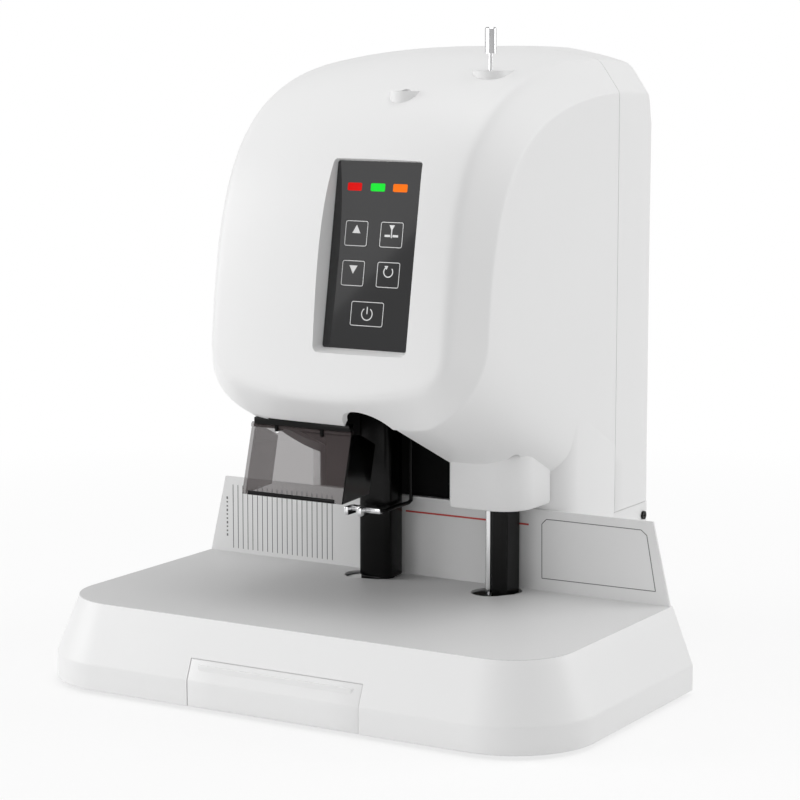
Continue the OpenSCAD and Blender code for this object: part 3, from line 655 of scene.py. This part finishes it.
levels = [3.6, 6, 14, SKIRT_Z - 1.2, SKIRT_Z, SKIRT_Z + 1.2, 34, 48, 58, TABLE_Z - 2.4]
loops = [base_loop(223.0, -185.7, 64.2, 3.0)] + [base_loop(*base_at(z), z) for z in levels]
hw, front, r = base_at(TABLE_Z)
for inset, z in [(0.15, TABLE_Z - 1.2), (0.55, TABLE_Z - 0.4), (1.3, TABLE_Z)]:
    loops.append(base_loop(hw - inset + 0.5, front + inset - 0.5, r - inset + 0.5, z))
loops.append(base_loop(hw - 2.0, front + 2.0, r - 2.0, TABLE_Z - 0.05))
loops.append(base_loop(hw - 2.0, front + 2.0, r - 2.0, TABLE_Z - 3))
inner = [base_loop(base_at(z)[0] - 3, base_at(z)[1] + 3, base_at(z)[2] - 3, z, 38) for z in (TABLE_Z - 6, 48, 34, SKIRT_Z, 3)]
verts, faces = loft(loops + inner, caps=False)
n = len(loops[0])
k = len(loops) + len(inner)
faces += [[(k - 1) * n + j, (k - 1) * n + (j + 1) % n, (j + 1) % n, j] for j in range(n)]
base = make("base_shell", verts, faces, white)
gap = prism("drawer_gap", rounded(-72.5, 73.5, 0, 37.8, 0.6), -200, -160, place=lambda v: v[:, [0, 2, 1]])
cut(base, gap)
drop(gap)
shade(base)
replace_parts(base, "base_housing")
foot = prism("column_foot", rounded(-HEAD_HW, HEAD_HW, 41, SEAM_Y, 0.5), 3, TABLE_Z, white, "machine", soften=0.4)
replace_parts(foot, "base_housing")

# Drawer: the front is a patch of the base wall's own surface, upright below the skirt's height and
# leaning by 0.4 above it, and drawn back at its rim by 0.6 times the square of how near the rim is,
# within 1; the tray hangs behind it
z = np.array([3.2, 3.5, 4.2, 8, 14, 20, SKIRT_Z - 1.2, SKIRT_Z, SKIRT_Z + 1.2, 28, 33, 36.4, 37.1, 37.4])
x = np.array([-72.2, -71.9, -71.2, -50, -25, 0, 25, 50, 72.2, 72.9, 73.2])
gx, gz = np.meshgrid(x, z)
rim = np.minimum(np.minimum(gx - x[0], x[-1] - gx), np.minimum(gz - z[0], z[-1] - gz))
y = -186.25 + 0.4 * np.maximum(0, gz - SKIRT_Z) + 0.6 * np.clip(1 - rim / 1.0, 0, 1) ** 2
grid = np.stack([gx, y, gz], -1).reshape(-1, 3)
back = grid + [0, 3.2, 0]
n = len(x)
top_row = (len(z) - 1) * n
hem = list(range(n)) + [r * n + n - 1 for r in range(1, len(z))]
hem += [top_row + c for c in range(n - 2, -1, -1)] + [r * n for r in range(len(z) - 2, 0, -1)]
faces = strips(len(z), n) + [f[::-1] for f in strips(len(z), n, start=len(grid))]
faces += [[p, q, q + len(grid), p + len(grid)] for p, q in zip(hem, hem[1:] + hem[:1])]
front = make("drawer_front", np.concatenate([grid, back]), faces, drawer_white, "drawer", 60)
rims = [np.c_[rounded(-66 + w, 67 - w, -183.2 + w, -20 - w, 3), np.full(36, h)] for w, h in
        ((0.6, 9), (0, 9.6), (0, 33.6), (0.3, 34), (1.7, 34), (2, 33.6), (2, 11.6), (2.6, 11))]
verts, faces = loft(rims)
tray = make("drawer_tray", verts, faces, drawer_white, "drawer")
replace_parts(front, "chip_drawer")
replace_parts(tray, "chip_drawer")

# ---------- punching parts in the bay ----------

def slab(name, x0, x1, y0, y1, z0, z1, look, body, r=0.4, soften=0.3):
    """Straight block with rounded upright corners and softened rims."""
    return prism(name, rounded(x0, x1, y0, y1, r, 4), z0, z1, look, body, soften=soften)


def rod(name, path, r, look, body):
    """Round bar along a path of points: a circle set square to the path at each point."""
    path = np.asarray(path, float)
    turn = np.radians(np.linspace(0, 360, 17)[:-1])
    loops = []
    for k, p in enumerate(path):
        d = path[min(k + 1, len(path) - 1)] - path[max(k - 1, 0)]
        d /= np.linalg.norm(d)
        u = np.cross(d, (1, 0, 0) if abs(d[0]) < 0.8 else (0, 0, 1))
        u /= np.linalg.norm(u)
        loops.append(p + r * (np.outer(np.cos(turn), u) + np.outer(np.sin(turn), np.cross(d, u))))
    verts, faces = loft(loops)
    return make(name, verts, faces, look, body)


# Guard: broad round-cornered sleeve over the drill, with a narrower nose where it enters the table
guard = slab("drill_guard_sleeve", -47.2, -18.6, 8.2, 31.6, 66.6, 214.8, black, "drill_carriage", 5, 1.2)
nose = slab("drill_guard_nose", -46.5, -25, 9.5, 30.5, 63.1, 66.6, black, "drill_carriage", 4, 0.3)
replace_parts(guard, "drill_guard")
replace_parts(nose, "drill_guard")

# Press foot: bright fork at the paper, blackened arm running back to its lift rod
fork_parts = [(-47, -43.5, -12, 0.5, 117.5, 124), (-35, -31.5, -12, 0.5, 117.5, 124), (-43.5, -35, -6.5, 0.5, 120.5, 124),
              (-31.5, -19, -5, -0.5, 119.5, 123.5)]
for k, (x0, x1, y0, y1, z0, z1) in enumerate(fork_parts):
    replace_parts(slab(f"press_fork_{k + 1}", x0, x1, y0, y1, z0, z1, bright, "press_foot", 0.5), "press_foot")
arm = rod("press_arm", [(-21, -2.6, 121.5), (-18, -2.2, 121.6), (-15.4, 0, 122.2), (-14.3, 3.5, 123), (-14, 8, 123.4),
                        (-14, 30, 123.4), (-14, 33.6, 124.6), (-14, 34, 128), (-14, 34, 329.5)], 1.5, black, "press_foot")
collar = slab("press_collar", -17.8, -8.5, 27.4, 36.2, 318, 326, dark_metal, "press_foot")
for obj in (arm, collar):
    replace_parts(obj, "press_foot")

# Black edging strip along the foot of the shield
strip = slab("shield_edging", -78, -2, -98, -96.7, 144.2, 147.2, black, "shield", 0.3, 0.3)
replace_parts(strip, "shield_strip")

# Black slab across the top of the shield, under the head's lip; and a black sheet laid on the shield's right wing,
# painted shade standing in for the shade seen through the smoked wing
slab("shield_top_black_slab", -80, 3.8, -85.5, -79, 196, 201, black, "machine", 0.5, 0.5)
wing = NODES["smoked_shield"]
points = [wing.matrix_world @ v.co for v in wing.data.vertices]
sides = [q for q in wing.data.polygons if q.normal.x > 0.9 and min(points[i].x for i in q.vertices) > 2 * MM]
used = sorted({i for q in sides for i in q.vertices})
# Painted shade: a thin black sheet over the right wing's faces, where the wing shows only shade behind it
shade_sheet = make("shield_side_painted_shade", [np.array(points[i]) / MM + [0.1, 0, 0] for i in used],
             [[used.index(i) for i in q.vertices] for q in sides], black, "shield")
modify(shade_sheet, "SOLIDIFY", thickness=0.0003, offset=1.0)
bake(shade_sheet)

# Rivet housing: tub with softened rims whose walls run up into the head
tub = prism("rivet_housing_shell", rounded(45.6, 105, -13, 39, (4, 25, 0.6, 0.6), 10), 132.5, 180, white,
            "machine", soften=2.2)
room = prism("housing_room", rounded(48, 102.6, -10.6, 37, (3, 22.6, 0.5, 0.5), 10), 135.5, 192)
way = prism("housing_way", rounded(63, 85.5, 6.5, 36.5, 2), 128, 140)
cut(tub, room)
cut(tub, way)
drop(room, way)
shade(tub)
tub.data.materials.clear()
tub.data.materials.append(white.mat)
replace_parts(tub, "rivet_housing")

# ---------- prints ----------

def bars(name, rects, depth_y, look, body="machine"):
    """Printed strokes on an upright face: each (x0, z0, x1, z1, width) is one thin quad."""
    verts, faces = [], []
    for x0, z0, x1, z1, w in rects:
        d = np.array([x1 - x0, z1 - z0])
        nrm = np.array([-d[1], d[0]]) / np.linalg.norm(d) * w / 2
        b = len(verts)
        for (px, pz), side in (((x0, z0), -1), ((x1, z1), -1), ((x1, z1), 1), ((x0, z0), 1)):
            verts.append((px + side * nrm[0], depth_y, pz + side * nrm[1]))
        faces.append([b, b + 1, b + 2, b + 3])
    return make(name, verts, faces, look, body)


rule = [(-184 + 4.77 * i, 68.6, -184 + 4.77 * i, 121.0, 0.65) for i in range(21)]
rule += [(-190.6, 79 + 3.4 * i, -189.2, 79 + 3.4 * i, 1.3 if i % 3 else 2.0) for i in range(10)]
frame_box = [(111.9, 120.7), (181.9, 120.5), (186.6, 116.8), (194.3, 75.3), (99.6, 74.8), (99.2, 116.7),
             (103, 120.6), (111.9, 120.7)]
rule += [(*p, *q, 0.6) for p, q in zip(frame_box[:-1], frame_box[1:])]
fence_print = bars("fence_rule", rule, FENCE_Y - 0.06, print_dark)
red_line = bars("stack_line", [(-20.5, 115.2, 88, 115.2, 1.4)], FENCE_Y - 0.06, print_red)

# ---------- panel marks ----------

def mark(name, loops, body, look, z=0.34):
    """Flat print on the panel: each item is an outline, or an (outer, inner) pair of equal count."""
    verts, faces = [], []
    for item in loops:
        b = len(verts)
        if isinstance(item, tuple):
            a, c = item
            n = len(a)
            verts += [(*p, z) for p in a] + [(*p, z) for p in c]
            faces += [[b + k, b + (k + 1) % n, b + n + (k + 1) % n, b + n + k] for k in range(n)]
        else:
            verts += [(*p, z) for p in item]
            faces.append(list(range(b, b + len(item))))
    return make(name, on_panel(verts), faces, look, body)


def ring(cx, cy, w, h, r, line):
    """Rounded outline of a given line width."""
    outer = rounded(cx - w / 2, cx + w / 2, cy - h / 2, cy + h / 2, r, 5)
    inner = rounded(cx - w / 2 + line, cx + w / 2 - line, cy - h / 2 + line, cy + h / 2 - line, r - line, 5)
    return outer, inner


def bow(cx, cy, r, a0, a1, line):
    """Arc of a circle between two angles as one closed outline."""
    a = np.radians(np.linspace(a0, a1, 28))
    out = np.stack([cx + (r + line / 2) * np.cos(a), cy + (r + line / 2) * np.sin(a)], -1)
    into = np.stack([cx + (r - line / 2) * np.cos(a), cy + (r - line / 2) * np.sin(a)], -1)
    return np.concatenate([out, into[::-1]])


# Keys: middle across and up from the glass's lower left corner, width, height
KEYS = {"up": (20.5, 83, 18.8, 18.3), "down": (20.5, 54.3, 18.8, 18.3), "rivet": (49.9, 83, 18.8, 18.3),
        "reset": (49.9, 54.3, 18.8, 18.3), "start": (35.2, 25.6, 27.2, 17.6)}
for key, (cx, cy, w, h) in KEYS.items():
    cx -= PANEL_W / 2
    sign = {"up": [np.array([[cx - 3.4, cy + 0.2], [cx + 3.4, cy + 0.2], [cx, cy + 6.2]])],
            "down": [np.array([[cx - 3.4, cy + 5.6], [cx, cy - 0.4], [cx + 3.4, cy + 5.6]])],
            "rivet": [np.array([[cx - 0.35, cy - 2.2], [cx + 0.35, cy - 2.2], [cx + 0.5, cy + 3.6],
                                [cx + 2.2, cy + 7.0], [cx - 2.2, cy + 7.0], [cx - 0.5, cy + 3.6]]),
                      np.array([[cx - 5.6, cy - 1.6], [cx - 1.0, cy - 1.6], [cx - 1.0, cy], [cx - 5.6, cy]]),
                      np.array([[cx + 1.0, cy - 1.6], [cx + 5.6, cy - 1.6], [cx + 5.6, cy], [cx + 1.0, cy]])],
            "reset": [bow(cx, cy + 2.2, 3.7, 118, 400, 0.8),
                      np.array([[cx - 3.6, cy + 6.4], [cx - 0.4, cy + 6.4], [cx - 1.6, cy + 3.6]])],
            "start": [bow(cx, cy, 4.4, 125, 415, 0.7),
                      np.array([[cx - 0.4, cy], [cx + 0.4, cy], [cx + 0.4, cy + 5.2], [cx - 0.4, cy + 5.2]])]}[key]
    mark(f"{key}_key_marks", [ring(cx, cy, w, h, 1.6, 0.5)] + sign, f"{key}_key", print_white)

# ---------- camera and light ----------

FOCAL_PX = 2495.6                        # focal length fitted on the 800 px picture
scene = bpy.context.scene
scene.view_settings.view_transform = "Standard"
cam_data = bpy.data.cameras.new("camera")
cam_data.sensor_width = 36.0
cam_data.lens = FOCAL_PX * 36 / 800
cam = bpy.data.objects.new("camera", cam_data)
cam.location = (0.9554, -1.6149, 0.4816)
cam.rotation_euler = (math.radians(90 - 8.27), 0, math.radians(30.71))
scene.collection.objects.link(cam)
scene.camera = cam


def area(name, at, aim, size, watts, turn=0.0):
    """Soft rectangular lamp, pointed at a place and turned about its axis."""
    data = bpy.data.lights.new(name, "AREA")
    data.shape, data.size, data.size_y, data.energy = "RECTANGLE", size[0], size[1], watts
    obj = bpy.data.objects.new(name, data)
    obj.location = at
    aside = Quaternion((0, 0, 1), math.radians(turn))
    obj.rotation_euler = ((Vector(aim) - Vector(at)).to_track_quat("-Z", "Y") @ aside).to_euler()
    scene.collection.objects.link(obj)
    return obj


LAMPS = {"key": ((-2.4, -1.3, 1.0), (1.5, 1.5), 22), "side": ((2.1, 1.7, 1.2), (1.6, 1.6), 21),
         "top": ((0.3, 0.2, 2.7), (1.8, 1.8), 24), "front": ((-0.9, -3.0, 0.4), (1.0, 1.0), 9)}
for name, (at, size, watts) in LAMPS.items():
    area(name, at, (0, 0, 0.25), size, watts)
CARD_AT, CARD_WAY = (-2.108, -1.65, 1.489), (0.52, 0.83, -0.2)   # its edge makes the sheen on the glass
area("card", CARD_AT, [p + w for p, w in zip(CARD_AT, CARD_WAY)], (2.4, 2.4), 9, -34.7)

world = bpy.data.worlds.new("studio")
scene.world = world
world.use_nodes = True
nt = world.node_tree
bg = nt.nodes["Background"]
bg.inputs[0].default_value = (1, 1, 1, 1)
path = nt.nodes.new("ShaderNodeLightPath")
seen = nt.nodes.new("ShaderNodeMath")
seen.operation = "MAXIMUM"
nt.links.new(path.outputs["Is Camera Ray"], seen.inputs[0])
nt.links.new(path.outputs["Is Transmission Ray"], seen.inputs[1])
level = nt.nodes.new("ShaderNodeMapRange")
level.inputs["To Min"].default_value = 0.50
level.inputs["To Max"].default_value = 1.0
nt.links.new(seen.outputs[0], level.inputs["Value"])
nt.links.new(level.outputs[0], bg.inputs[1])

floor = make("floor", [(-9000, -9000, 0), (9000, -9000, 0), (9000, 9000, 0), (-9000, 9000, 0)], [[0, 1, 2, 3]],
             None, None)
paper = Look("floor_paper", Roughness=0.9)
paper.set(Base_Color=paper.mix(paper.noise(3.0), (0.88, 0.88, 0.88), (0.9, 0.9, 0.9)))
out = paper.tree.nodes["Material Output"]
fx, fy, _ = paper.split()
far = ((fx * fx + fy * fy) * 0.9 - 0.1).clamp()
rays = paper.tree.nodes.new("ShaderNodeLightPath").outputs
kinds = [Val(paper, rays[f"Is {kind} Ray"]) for kind in ("Camera", "Transmission", "Glossy")]
clear = kinds[0] + kinds[1] + kinds[2]
glow = paper.node("ShaderNodeEmission", {}, {"Color": (1, 1, 1), "Strength": 1.0})
blend = paper.node("ShaderNodeMixShader", {}, {0: clear.clamp() * (0.72 + far * 0.28),
                                                1: Val(paper, paper.shader.outputs[0]), 2: glow})
paper.tree.links.new(blend.socket, out.inputs[0])
floor.data.materials.append(paper.mat)
